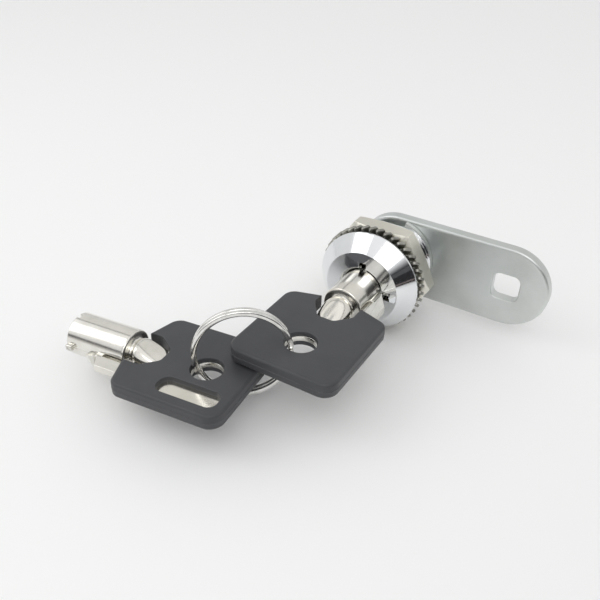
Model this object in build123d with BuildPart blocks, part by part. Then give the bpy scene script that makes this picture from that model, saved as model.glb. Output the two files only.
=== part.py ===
# Tubular-key cam lock with its two keys on a split ring.
#
# Frame (millimetres): origin on the lock's axis in the plane of the head's
# rear face, which is the face that seats on the panel. +Y points rearward
# through the panel, +X points along the cam, +Z is up. The lock is at the
# locked position, with the key in it and the cam out to +X.
from build123d import *
from math import sin, cos, radians, sqrt, pi
import os

os.makedirs("parts", exist_ok=True)

# ---------------------------------------------------------------- dimensions
# lock body: a conical head on a threaded barrel with two flats
HEAD_R_REAR = 11.5
HEAD_R_FRONT = 8.34
HEAD_Y_FRONT = -4.08
HEAD_LAND = 0.45
MOUTH_R = 5.05
MOUTH_Y = -3.45
BORE_R = 4.50
BARREL_R = 9.5
BARREL_FLAT = 8.0            # half of the 16 mm across the flats
BARREL_END = 12.50
THREAD_PITCH = 1.0
THREAD_DEPTH = 0.5
THREAD_START = 1.0
LUG_GROOVE_R = 5.6
LUG_GROOVE_Y = -1.0
CHAMBER_R = 6.6
CHAMBER_Y = 1.60
SLOT_HALF = 0.80             # the two slots that let the key's lug in
SLOT_R = 6.2
NOTCH_HALF = 1.05            # the wider index notch at the locked position
NOTCH_R = 8.15
NOTCH_DEPTH = 1.6
STOP_LUG_HALF_DEG = 12.0
STOP_LUG_END = 13.45

# fasteners on the barrel
WASHER_R_IN = 9.65
WASHER_R_OUT = 12.3
WASHER_R_ROOT = 10.6
WASHER_Y0, WASHER_Y1 = 0.45, 2.75
WASHER_T = 1.1
WASHER_TEETH = 42
TOOTH_W, TOOTH_T, TOOTH_TWIST = 2.1, 0.72, 52.0
NUT_AF = 22.0
NUT_Y0, NUT_Y1 = 2.95, 7.15

# lock works
PIN_CIRCLE_R = 3.80
PIN_COUNT = 8                # positions; the one at the lug carries no pin
POST_R = 3.15
POST_FRONT = -3.10
ROTOR_R = 6.45
ROTOR_Y0, ROTOR_Y1 = 1.70, 4.90
PIN_NOSE_R = 0.50
PIN_BODY_R = 0.78
PIN_TRAVEL = 1.5
SLEEVE_Y0, SLEEVE_Y1 = 4.96, 12.46
SLEEVE_R = 6.55
DRIVER_HOLE_R = 0.80
DRIVER_R = 0.74
DRIVER_LEN = 2.0
SPRING_R = 0.56
SPRING_WIRE = 0.09
SPINDLE_R = 2.50
SQUARE_X, SQUARE_Z = 5.9, 6.1
SQUARE_END = 16.05
STUD_R = 2.90
STUD_END = 21.6

# stop washer, cam and its fixings
STOP_Y0, STOP_Y1 = 12.58, 13.58
STOP_R = 9.2
CAM_Y0, CAM_T = 13.67, 2.5
CAM_HALF = 9.35
CAM_LENGTH = 26.14           # from the lock's axis to the centre of the tip
CAM_HOLE_X, CAM_HOLE_Z = 6.0, 6.2
CAM_HOLE_CORNER = 1.6
SPRING_WASHER_T = 1.3
CAM_NUT_AF, CAM_NUT_T = 10.0, 4.0

# keys, in their own frame: x to the tip, y to the fin, z out of face B
TUBE_R = 4.35
TUBE_BORE_R = 3.25
TUBE_TIP = 12.6
TUBE_BORE_END = 2.2
BITTING_DEPTHS = (1.25, 0.55, 0.95, 1.45, 0.75, 1.15, 0.45)
BOW_T = 3.3
BOW_FRONT_X, BOW_HALF, BOW_BACK_X = -3.52, 11.44, -26.4
BOW_CORNER = 3.0
RING_HOLE_X, RING_HOLE_R = -17.6, 3.2
TANG_T = 1.1
FIN_X, FIN_Y = 6.6, 7.8
FIN_T = 1.6
LUG_X = 11.3                 # centre of the lug, and its outer radius
LUG_R = 5.3

# where the two keys and the ring are
KEY_ORIGIN = (0.0, -11.29, 0.0)
SPARE_ORIGIN = (-30.5000, -42.6465, -4.3632)
SPARE_X_DIR = (-0.99549, -0.09264, -0.02063)
SPARE_Z_DIR = (-0.02055, -0.00191, 0.99979)
RING_CENTRE = (-8.318, -36.098, 0.095)
RING_NORMAL = (-0.6014, 0.7974, -0.0501)
RING_R = 9.125
RING_RADIAL = 1.10
RING_AXIAL = 1.90


def facing(y):
    """Plane across the lock's axis at y, with local x = +X and local y = +Z.
    A negative extrusion from it runs rearward, along +Y."""
    return Plane(origin=(0, y, 0), x_dir=(1, 0, 0), z_dir=(0, -1, 0))


def polar(r, deg):
    return (r * cos(radians(deg)), r * sin(radians(deg)))


def finish(part, name, plane=None):
    if plane is not None:
        part = part.moved(Location(plane))
    part.label = name
    export_step(part, "parts/" + name + ".step")


# ------------------------------------------------------------- the lock body
with BuildPart() as lock_body:
    with BuildSketch(Plane.XY):
        with BuildLine():
            ridge = []
            y = THREAD_START
            while y + THREAD_PITCH < BARREL_END - 0.3:
                ridge += [(BARREL_R - THREAD_DEPTH, y + 0.12), (BARREL_R, y + 0.44),
                          (BARREL_R, y + 0.56), (BARREL_R - THREAD_DEPTH, y + 0.88)]
                y += THREAD_PITCH
            Polyline([(MOUTH_R, HEAD_Y_FRONT), (HEAD_R_FRONT - 0.12, HEAD_Y_FRONT),
                      (HEAD_R_FRONT + 0.06, HEAD_Y_FRONT + 0.14),
                      (HEAD_R_REAR - 0.06, -HEAD_LAND), (HEAD_R_REAR, -HEAD_LAND + 0.12),
                      (HEAD_R_REAR, 0), (BARREL_R - THREAD_DEPTH, 0)] + ridge +
                     [(BARREL_R - THREAD_DEPTH, BARREL_END - 0.3),
                      (BARREL_R - THREAD_DEPTH, STOP_LUG_END), (CHAMBER_R, STOP_LUG_END),
                      (CHAMBER_R, CHAMBER_Y), (LUG_GROOVE_R, CHAMBER_Y),
                      (LUG_GROOVE_R, LUG_GROOVE_Y), (BORE_R, LUG_GROOVE_Y),
                      (BORE_R, MOUTH_Y)], close=True)
        make_face()
    revolve(axis=Axis.Y)
    # flats along the barrel
    for side in (1, -1):
        with BuildSketch(facing(0.0)):
            with Locations((0, side * (BARREL_FLAT + 3))):
                Rectangle(30, 6)
        extrude(amount=-20, mode=Mode.SUBTRACT)
    # the rear end is cut back to leave one stop lug, at -X
    with BuildSketch(facing(BARREL_END)):
        with BuildLine():
            a, b = 180 + STOP_LUG_HALF_DEG, 180 - STOP_LUG_HALF_DEG + 360
            pts = [polar(14, a + (b - a) * i / 16) for i in range(17)]
            Polyline([(0, 0)] + pts, close=True)
        make_face()
    extrude(amount=-3, mode=Mode.SUBTRACT)
    # lug slots at the two positions where the key goes in and comes out
    with BuildSketch(facing(HEAD_Y_FRONT)):
        with Locations((SLOT_R / 2, 0)):
            Rectangle(SLOT_R, 2 * SLOT_HALF)
        with Locations((0, SLOT_R / 2)):
            Rectangle(2 * SLOT_HALF, SLOT_R)
    extrude(amount=-(LUG_GROOVE_Y - HEAD_Y_FRONT + 0.2), mode=Mode.SUBTRACT)
    # wide index notch across the front annulus at +X
    with BuildSketch(facing(HEAD_Y_FRONT)):
        with Locations((NOTCH_R / 2, 0)):
            Rectangle(NOTCH_R, 2 * NOTCH_HALF)
    extrude(amount=-NOTCH_DEPTH, mode=Mode.SUBTRACT)
    # cross hole for the sleeve's pin, in the lower flat
    with BuildSketch(Plane(origin=(0, 10.9, -BARREL_FLAT - 1), x_dir=(1, 0, 0), z_dir=(0, 0, 1))):
        Circle(0.80)
    extrude(amount=3.2, mode=Mode.SUBTRACT)
finish(lock_body.part, "lock_body")

# ------------------------------------------------- toothed washer and its nut
with BuildPart() as washer:
    with BuildSketch(facing(WASHER_Y1 - WASHER_T)):
        Circle(WASHER_R_ROOT)
        Circle(WASHER_R_IN, mode=Mode.SUBTRACT)
    extrude(amount=-WASHER_T)
    # each tooth is a short bar, twisted about the radius it lies on
    tooth_y = (WASHER_Y0 + WASHER_Y1) / 2
    with BuildPart(mode=Mode.PRIVATE) as tooth:
        with BuildSketch(Plane(origin=(WASHER_R_ROOT - 0.35, tooth_y, 0), x_dir=(0, 1, 0), z_dir=(1, 0, 0))):
            RectangleRounded(TOOTH_T, TOOTH_W, 0.12, rotation=TOOTH_TWIST)
        extrude(amount=WASHER_R_OUT - WASHER_R_ROOT + 0.35)
    add([tooth.part.rotate(Axis.Y, 360.0 * i / WASHER_TEETH) for i in range(WASHER_TEETH)])
finish(washer.part, "serrated_washer")

with BuildPart() as nut:
    with BuildSketch(facing(NUT_Y0)):
        RegularPolygon(NUT_AF / 2, 6, major_radius=False, rotation=0)
        Circle(BARREL_R + 0.06, mode=Mode.SUBTRACT)
    extrude(amount=-(NUT_Y1 - NUT_Y0))
    # corner chamfers, front and back, turned on the lathe
    with BuildPart(mode=Mode.PRIVATE) as turned:
        with BuildSketch(Plane.XY):
            with BuildLine():
                Polyline([(0, NUT_Y0), (11.0, NUT_Y0), (12.9, NUT_Y0 + 1.05), (12.9, NUT_Y1 - 1.05),
                          (11.0, NUT_Y1), (0, NUT_Y1)], close=True)
            make_face()
        revolve(axis=Axis.Y)
    add(turned.part, mode=Mode.INTERSECT)
finish(nut.part, "mounting_nut")

# --------------------------------------------------------- rotor with its post
with BuildPart() as rotor:
    with BuildSketch(Plane.XY):
        with BuildLine():
            Polyline([(0, POST_FRONT + 0.35), (1.15, POST_FRONT + 0.35), (1.5, POST_FRONT),
                      (POST_R - 0.45, POST_FRONT), (POST_R, POST_FRONT + 0.45),
                      (POST_R, ROTOR_Y0), (ROTOR_R, ROTOR_Y0), (ROTOR_R, ROTOR_Y1),
                      (SPINDLE_R, ROTOR_Y1), (SPINDLE_R, STOP_Y0), (0, STOP_Y0)], close=True)
        make_face()
    revolve(axis=Axis.Y)
    # square that drives the stop washer and the cam
    with BuildSketch(facing(STOP_Y0)):
        RectangleRounded(SQUARE_X, SQUARE_Z, CAM_HOLE_CORNER)
    extrude(amount=-(SQUARE_END - STOP_Y0))
    # threaded stud for the cam's nut
    with BuildSketch(Plane.XY):
        with BuildLine():
            Polyline([(0, SQUARE_END), (STUD_R, SQUARE_END), (STUD_R, STUD_END - 0.5),
                      (STUD_R - 0.5, STUD_END), (0, STUD_END)], close=True)
        make_face()
    revolve(axis=Axis.Y)
    # eight stepped holes on the pin circle
    with BuildSketch(facing(ROTOR_Y0 - 0.1)):
        with PolarLocations(PIN_CIRCLE_R, PIN_COUNT):
            Circle(PIN_NOSE_R + 0.05)
    extrude(amount=-(ROTOR_Y1 - ROTOR_Y0 + 0.2), mode=Mode.SUBTRACT)
    with BuildSketch(facing(ROTOR_Y0 + 0.35)):
        with PolarLocations(PIN_CIRCLE_R, PIN_COUNT):
            Circle(PIN_BODY_R + 0.05)
    extrude(amount=-(ROTOR_Y1 - ROTOR_Y0), mode=Mode.SUBTRACT)
finish(rotor.part, "rotor")

# key pins: a nose in the keyway and a shoulder that stops it going further
for i, depth in enumerate(BITTING_DEPTHS, start=1):
    px, pz = polar(PIN_CIRCLE_R, 45.0 * i)
    nose = KEY_ORIGIN[1] + TUBE_TIP - depth + 0.03
    shoulder = ROTOR_Y0 + 0.35 + PIN_TRAVEL + 0.05
    with BuildPart() as key_pin:
        with BuildSketch(Plane(origin=(px, nose, pz), x_dir=(1, 0, 0), z_dir=(0, 1, 0))):
            Circle(PIN_NOSE_R)
        extrude(amount=shoulder - nose)
        with BuildSketch(Plane(origin=(px, shoulder, pz), x_dir=(1, 0, 0), z_dir=(0, 1, 0))):
            Circle(PIN_BODY_R)
        extrude(amount=ROTOR_Y1 - 0.01 - shoulder)
        chamfer(key_pin.edges().group_by(Axis.Y)[0], 0.18)
    finish(key_pin.part, "key_pin_%d" % i)

# ----------------------------- fixed pin sleeve, driver pins and their springs
with BuildPart() as sleeve:
    with BuildSketch(facing(SLEEVE_Y0)):
        Circle(SLEEVE_R)
        Circle(SPINDLE_R + 0.06, mode=Mode.SUBTRACT)
    extrude(amount=-(SLEEVE_Y1 - SLEEVE_Y0))
    with BuildSketch(facing(SLEEVE_Y0)):
        with PolarLocations(PIN_CIRCLE_R, PIN_COUNT - 1, start_angle=45, angular_range=315):
            Circle(DRIVER_HOLE_R)
    extrude(amount=-(SLEEVE_Y1 - SLEEVE_Y0 - 0.35), mode=Mode.SUBTRACT)
    with BuildSketch(Plane(origin=(0, 10.9, -8), x_dir=(1, 0, 0), z_dir=(0, 0, 1))):
        Circle(0.80)
    extrude(amount=8 - 4.95, mode=Mode.SUBTRACT)
finish(sleeve.part, "pin_sleeve")

with BuildPart() as sleeve_pin:
    with BuildSketch(Plane(origin=(0, 10.9, -7.9), x_dir=(1, 0, 0), z_dir=(0, 0, 1))):
        Circle(0.78)
    extrude(amount=7.9 - 5.05)
    chamfer(sleeve_pin.edges().group_by(Axis.Z)[-1], 0.2)
finish(sleeve_pin.part, "sleeve_pin")

with BuildPart() as drivers:
    with BuildSketch(facing(SLEEVE_Y0)):
        for i in range(1, PIN_COUNT):
            with Locations(polar(PIN_CIRCLE_R, 45.0 * i)):
                Circle(DRIVER_R)
    extrude(amount=-DRIVER_LEN)
finish(drivers.part, "driver_pins")

# one compression spring, then the seven of them behind the driver pins
spring_y0 = SLEEVE_Y0 + DRIVER_LEN + 0.03
spring_height = (SLEEVE_Y1 - 0.38) - spring_y0 - 2 * SPRING_WIRE
with BuildPart() as one_spring:
    with BuildLine() as coil:
        Helix(pitch=spring_height / 9, height=spring_height, radius=SPRING_R)
    with BuildSketch(Plane(origin=coil.line @ 0, z_dir=coil.line % 0)):
        Circle(SPRING_WIRE)
    sweep(path=coil.line, is_frenet=True)

with BuildPart() as springs:
    for i in range(1, PIN_COUNT):
        px, pz = polar(PIN_CIRCLE_R, 45.0 * i)
        seat = Plane(origin=(px, spring_y0 + SPRING_WIRE, pz), x_dir=(1, 0, 0), z_dir=(0, 1, 0))
        add(one_spring.part.moved(Location(seat)))
finish(springs.part, "driver_springs")

# ------------------------------------------- stop washer, cam and what holds it
with BuildPart() as stop_washer:
    with BuildSketch(facing(STOP_Y0)):
        Circle(STOP_R)
        RectangleRounded(SQUARE_X + 0.1, SQUARE_Z + 0.1, CAM_HOLE_CORNER, mode=Mode.SUBTRACT)
        with BuildLine():
            a0 = 180 + STOP_LUG_HALF_DEG + 1.0 - (90 + 2 * STOP_LUG_HALF_DEG + 2.0)
            a1 = 180 + STOP_LUG_HALF_DEG + 1.0
            n = 14
            outer = [polar(14, a0 + (a1 - a0) * i / n) for i in range(n + 1)]
            inner = [polar(6.3, a1 - (a1 - a0) * i / n) for i in range(n + 1)]
            Polyline(outer + inner, close=True)
        make_face(mode=Mode.SUBTRACT)
    extrude(amount=-(STOP_Y1 - STOP_Y0))
finish(stop_washer.part, "stop_washer")

with BuildPart() as cam:
    with BuildSketch(facing(CAM_Y0)):
        with Locations((CAM_LENGTH / 2, 0)):
            SlotCenterToCenter(CAM_LENGTH, 2 * CAM_HALF)
    extrude(amount=-CAM_T)
    fillet(cam.edges().group_by(Axis.Y)[0], 0.55)
    fillet(cam.edges().group_by(Axis.Y)[-1], 0.25)
    with BuildSketch(facing(CAM_Y0)):
        RectangleRounded(CAM_HOLE_X, CAM_HOLE_Z, CAM_HOLE_CORNER)
        with Locations((CAM_LENGTH, 0)):
            RectangleRounded(CAM_HOLE_X, CAM_HOLE_Z, CAM_HOLE_CORNER)
    extrude(amount=-CAM_T, mode=Mode.SUBTRACT)
finish(cam.part, "cam")

SW_Y0 = CAM_Y0 + CAM_T + 0.05
with BuildPart() as cam_washer:
    with BuildSketch(facing(SW_Y0)):
        Circle(4.9)
        Circle(3.05, mode=Mode.SUBTRACT)
    extrude(amount=-SPRING_WASHER_T)
    # the split of a spring washer
    with BuildSketch(facing(SW_Y0 - 0.1)):
        with BuildLine():
            Polyline([(-0.2, 2.6), (0.35, 2.6), (0.05, 5.4), (-0.5, 5.4)], close=True)
        make_face()
    extrude(amount=-(SPRING_WASHER_T + 0.2), mode=Mode.SUBTRACT)
finish(cam_washer.part, "cam_spring_washer")

CN_Y0 = SW_Y0 + SPRING_WASHER_T + 0.05
with BuildPart() as cam_nut:
    with BuildSketch(facing(CN_Y0)):
        RegularPolygon(CAM_NUT_AF / 2, 6, major_radius=False, rotation=30)
        Circle(STUD_R + 0.04, mode=Mode.SUBTRACT)
    extrude(amount=-CAM_NUT_T)
    with BuildPart(mode=Mode.PRIVATE) as nut_turned:
        with BuildSketch(Plane.XY):
            with BuildLine():
                Polyline([(0, CN_Y0), (5.1, CN_Y0), (5.9, CN_Y0 + 0.45), (5.9, CN_Y0 + CAM_NUT_T - 0.45),
                          (5.1, CN_Y0 + CAM_NUT_T), (0, CN_Y0 + CAM_NUT_T)], close=True)
            make_face()
        revolve(axis=Axis.Y)
    add(nut_turned.part, mode=Mode.INTERSECT)
finish(cam_nut.part, "cam_nut")

# ------------------------------------------------------------------- the keys
# Metal half of a key: tube with a crimped, domed root, fin, lug and the flat
# tang that the plastic bow is moulded around.
with BuildPart() as key_metal:
    with BuildSketch(Plane.XY):
        with BuildLine():
            dome = [(-8.0 + 4.4 * (1 - cos(radians(a))), 0.60 + 2.55 * sin(radians(a)))
                    for a in range(0, 91, 10)]
            dome += [(-2.2, 3.1), (-1.75, 2.85), (-1.35, 3.1), (-1.25, TUBE_R - 0.25), (-1.0, TUBE_R)]
            Polyline([(-8.0, 0)] + dome + [(TUBE_TIP - 0.45, TUBE_R), (TUBE_TIP, TUBE_R - 0.3),
                     (TUBE_TIP, TUBE_BORE_R + 0.12), (TUBE_TIP - 0.12, TUBE_BORE_R),
                     (TUBE_BORE_END, TUBE_BORE_R), (TUBE_BORE_END - 1.2, 0)], close=True)
        make_face()
    revolve(axis=Axis.X)
    # tang and the neck that joins it to the tube's root
    with BuildSketch(Plane.XY.offset(-TANG_T / 2)):
        with Locations(((-25.0 - 9.0) / 2, 0)):
            RectangleRounded(25.0 - 9.0, 19.6, 1.6)
        with Locations((-7.9, 0)):
            Rectangle(3.4, 6.4)
        with Locations((-7.9, 5.9)):
            Rectangle(3.4, 3.6)
    extrude(amount=TANG_T)
    with BuildSketch(Plane.XY.offset(-TANG_T)):
        with Locations((RING_HOLE_X, 0)):
            Circle(RING_HOLE_R)
    extrude(amount=2 * TANG_T, mode=Mode.SUBTRACT)
    # fin beside the tube, with a slanted front end
    with BuildSketch(Plane.XY.offset(-FIN_T / 2)):
        with BuildLine():
            Polyline([(-7.6, 4.60), (3.9, 4.52), (4.3, TUBE_R - 0.35), (FIN_X + 0.3, TUBE_R - 0.35),
                      (FIN_X, TUBE_R + 0.6), (FIN_X - 2.7, FIN_Y), (-7.6, FIN_Y)], close=True)
        make_face()
    extrude(amount=FIN_T)
    # lug near the tip
    with BuildSketch(Plane.XY.offset(-0.7)):
        with Locations((LUG_X, LUG_R - 0.8)):
            Rectangle(1.5, 1.6)
    extrude(amount=1.4)
    # bitting: one round cut for each pin
    for i, depth in enumerate(BITTING_DEPTHS, start=1):
        cy, cz = PIN_CIRCLE_R * cos(radians(45.0 * i)), -PIN_CIRCLE_R * sin(radians(45.0 * i))
        with BuildSketch(Plane(origin=(TUBE_TIP - depth, cy, cz), x_dir=(0, 1, 0), z_dir=(1, 0, 0))):
            Circle(0.72)
        extrude(amount=depth + 1, mode=Mode.SUBTRACT)

# Plastic bow, moulded over the tang
with BuildPart() as key_bow:
    with BuildSketch(Plane.XY.offset(-BOW_T / 2)) as outline:
        with BuildLine():
            Polyline([(0, 0), (BOW_FRONT_X, BOW_HALF), (BOW_BACK_X, BOW_HALF),
                      (BOW_BACK_X, -BOW_HALF), (BOW_FRONT_X, -BOW_HALF)], close=True)
        make_face()
        corners = outline.vertices().filter_by(lambda v: abs(v.Y) > 5)
        fillet(corners.filter_by(lambda v: v.X < -20), BOW_CORNER)
        fillet(outline.vertices().filter_by(lambda v: v.Y > 5 and v.X > -6), 2.2)
        fillet(outline.vertices().filter_by(lambda v: v.Y < -5 and v.X > -6), 2.8)
    extrude(amount=BOW_T)
    fillet(key_bow.edges().group_by(Axis.Z)[-1], 0.75)
    fillet(key_bow.edges().group_by(Axis.Z)[0], 0.75)
    # ring hole
    with BuildSketch(Plane.XY.offset(-BOW_T)):
        with Locations((RING_HOLE_X, 0)):
            Circle(RING_HOLE_R)
    extrude(amount=2 * BOW_T, mode=Mode.SUBTRACT)
    # opening at the tube's root, where the crimped end shows
    with BuildSketch(Plane.XY.offset(-BOW_T)) as root_opening:
        with BuildLine():
            Polyline([(2, -4.7), (-4.3, -4.6), (-8.3, -1.8), (-8.3, 1.8), (-5.2, 4.55), (2, 4.55)], close=True)
        make_face()
        fillet(root_opening.vertices().filter_by(lambda v: v.X < 0), 1.2)
    extrude(amount=2 * BOW_T, mode=Mode.SUBTRACT)
    # window on face B, down to the tang
    with BuildSketch(Plane.XY.offset(TANG_T / 2)):
        with Locations(((-11.6 - 24.2) / 2, 7.0)):
            RectangleRounded(24.2 - 11.6, 4.2, 1.7)
    extrude(amount=BOW_T, mode=Mode.SUBTRACT)
    # the metal's own place
    add(key_metal.part, mode=Mode.SUBTRACT)

KEY_PLANE = Plane(origin=KEY_ORIGIN, x_dir=(0, 1, 0), z_dir=(0, 0, -1))
SPARE_PLANE = Plane(origin=SPARE_ORIGIN, x_dir=SPARE_X_DIR, z_dir=SPARE_Z_DIR)
finish(key_metal.part, "key_tube", KEY_PLANE)
finish(key_bow.part, "key_bow", KEY_PLANE)
finish(key_metal.part, "spare_key_tube", SPARE_PLANE)
finish(key_bow.part, "spare_key_bow", SPARE_PLANE)

# --------------------------------------------------------------- split ring
# Two turns of wire lying on each other; the parting line shows as a groove.
with BuildPart() as ring:
    with BuildSketch(Plane.XZ):
        with Locations((RING_R, 0)):
            RectangleRounded(RING_RADIAL, RING_AXIAL, 0.3)
        for side in (1, -1):
            with Locations((RING_R + side * RING_RADIAL / 2, 0)):
                Rectangle(0.5, 0.1, mode=Mode.SUBTRACT)
    revolve(axis=Axis.Z)
finish(ring.part, "split_ring", Plane(origin=RING_CENTRE, z_dir=RING_NORMAL))
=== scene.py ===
import math
import bmesh
import bpy
import numpy as np
from mathutils import Matrix, Vector


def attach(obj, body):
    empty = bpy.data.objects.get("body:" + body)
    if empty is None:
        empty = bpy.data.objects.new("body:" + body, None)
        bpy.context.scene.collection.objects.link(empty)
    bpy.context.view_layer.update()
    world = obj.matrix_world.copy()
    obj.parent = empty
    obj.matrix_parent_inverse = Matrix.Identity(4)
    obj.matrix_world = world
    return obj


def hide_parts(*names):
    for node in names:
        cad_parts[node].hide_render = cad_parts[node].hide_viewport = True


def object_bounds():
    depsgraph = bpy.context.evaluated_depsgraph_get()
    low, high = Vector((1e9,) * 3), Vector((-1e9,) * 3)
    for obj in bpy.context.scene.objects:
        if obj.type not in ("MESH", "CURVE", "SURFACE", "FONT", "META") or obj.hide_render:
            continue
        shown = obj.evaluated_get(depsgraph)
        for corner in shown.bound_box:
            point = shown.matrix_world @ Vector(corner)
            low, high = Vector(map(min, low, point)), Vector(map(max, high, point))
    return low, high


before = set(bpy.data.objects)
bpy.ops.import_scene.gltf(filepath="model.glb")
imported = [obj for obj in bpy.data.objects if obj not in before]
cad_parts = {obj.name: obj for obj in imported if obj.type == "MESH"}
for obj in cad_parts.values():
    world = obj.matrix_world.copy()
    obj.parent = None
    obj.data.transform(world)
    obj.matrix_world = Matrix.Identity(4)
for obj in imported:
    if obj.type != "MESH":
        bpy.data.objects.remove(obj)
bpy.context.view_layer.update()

scene = bpy.context.scene
PI2 = 2 * math.pi

# ------------------------------------------------------------ camera, floor
cam_data = bpy.data.cameras.new("camera")
cam_data.lens = 42.66
cam_data.sensor_width = 36.0
cam_data.clip_start, cam_data.clip_end = 0.005, 20.0
camera = bpy.data.objects.new("camera", cam_data)
scene.collection.objects.link(camera)
forward = Vector((-0.413, 0.715, -0.564)).normalized()
right = Vector((0.8555, 0.517, 0.029))
right = (right - forward * right.dot(forward)).normalized()
up = right.cross(forward)
camera.matrix_world = Matrix(((right.x, up.x, -forward.x, 0.05267),
                              (right.y, up.y, -forward.y, -0.12097),
                              (right.z, up.z, -forward.z, 0.08360),
                              (0, 0, 0, 1)))
scene.camera = camera


# --------------------------------------------------------------- node helper
class Nodes:
    def __init__(self, name):
        self.mat = bpy.data.materials.new(name)
        self.mat.use_nodes = True
        self.nt = self.mat.node_tree
        self.bsdf = self.nt.nodes["Principled BSDF"]

    def new(self, kind, **props):
        n = self.nt.nodes.new(kind)
        for k, v in props.items():
            if k.startswith("in_"):
                key = k[3:]
                key = int(key) if key.isdigit() else key.replace("_", " ")
                n.inputs[key].default_value = v
            else:
                setattr(n, k, v)
        return n

    def link(self, a, b):
        self.nt.links.new(a, b)

    def set(self, **values):
        for k, v in values.items():
            self.bsdf.inputs[k.replace("_", " ")].default_value = v

    def local(self, scale=(1, 1, 1), rot=(0, 0, 0)):
        """The piece's own coordinates, in millimetres."""
        a = self.new("ShaderNodeAttribute", attribute_name="local")
        m = self.new("ShaderNodeMapping")
        m.inputs["Scale"].default_value = scale
        m.inputs["Rotation"].default_value = rot
        self.link(a.outputs["Vector"], m.inputs["Vector"])
        return m.outputs["Vector"]

    def place(self, scale=(1000, 1000, 1000)):
        """The row frame's coordinates, scaled from metres to millimetres."""
        a = self.new("ShaderNodeTexCoord")
        m = self.new("ShaderNodeMapping")
        m.inputs["Scale"].default_value = scale
        self.link(a.outputs["Object"], m.inputs["Vector"])
        return m.outputs["Vector"]

    def noise(self, vec, scale, detail=4.0, rough=0.55, distortion=0.0):
        n = self.new("ShaderNodeTexNoise")
        n.inputs["Scale"].default_value = scale
        n.inputs["Detail"].default_value = detail
        n.inputs["Roughness"].default_value = rough
        n.inputs["Distortion"].default_value = distortion
        self.link(vec, n.inputs["Vector"])
        return n.outputs["Fac"]

    def ramp(self, fac, stops):
        r = self.new("ShaderNodeValToRGB")
        while len(r.color_ramp.elements) < len(stops):
            r.color_ramp.elements.new(0.5)
        for e, (p, c) in zip(r.color_ramp.elements, stops):
            e.position = p
            e.color = (c, c, c, 1) if isinstance(c, (int, float)) else (*c, 1)
        self.link(fac, r.inputs["Fac"])
        return r.outputs["Color"]

    def mix(self, fac, a, b, mode="MIX"):
        m = self.new("ShaderNodeMix", data_type="RGBA", blend_type=mode)
        for sock, v in ((m.inputs[0], fac), (m.inputs[6], a), (m.inputs[7], b)):
            if isinstance(v, bpy.types.NodeSocket):
                self.link(v, sock)
            elif isinstance(v, (int, float)):
                sock.default_value = v
            else:
                sock.default_value = (*v, 1)
        return m.outputs[2]

    def math(self, op, a, b=0.5, c=0.0):
        m = self.new("ShaderNodeMath", operation=op)
        for sock, v in zip(m.inputs, (a, b, c)):
            if isinstance(v, bpy.types.NodeSocket):
                self.link(v, sock)
            else:
                sock.default_value = v
        return m.outputs[0]

    def edge(self, radius, lo=0.90, hi=0.995):
        """1 on rounded edges, 0 on faces: how far a rounded normal leans off the true one; used to paint highlights
        along edges.
        """
        bev = self.new("ShaderNodeBevel", samples=6)
        bev.inputs["Radius"].default_value = radius
        geo = self.new("ShaderNodeNewGeometry")
        dot = self.new("ShaderNodeVectorMath", operation="DOT_PRODUCT")
        self.link(bev.outputs["Normal"], dot.inputs[0])
        self.link(geo.outputs["Normal"], dot.inputs[1])
        mr = self.new("ShaderNodeMapRange")
        mr.inputs["From Min"].default_value = lo
        mr.inputs["From Max"].default_value = hi
        mr.inputs["To Min"].default_value = 1.0
        mr.inputs["To Max"].default_value = 0.0
        self.link(dot.outputs["Value"], mr.inputs["Value"])
        return mr.outputs["Result"]

    def bump(self, height, strength, distance):
        b = self.new("ShaderNodeBump")
        b.inputs["Strength"].default_value = strength
        b.inputs["Distance"].default_value = distance
        self.link(height, b.inputs["Height"])
        self.link(b.outputs["Normal"], self.bsdf.inputs["Normal"])
        return b

    def color(self, sock):
        self.link(sock, self.bsdf.inputs["Base Color"])

    def rough(self, sock):
        self.link(sock, self.bsdf.inputs["Roughness"])


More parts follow.
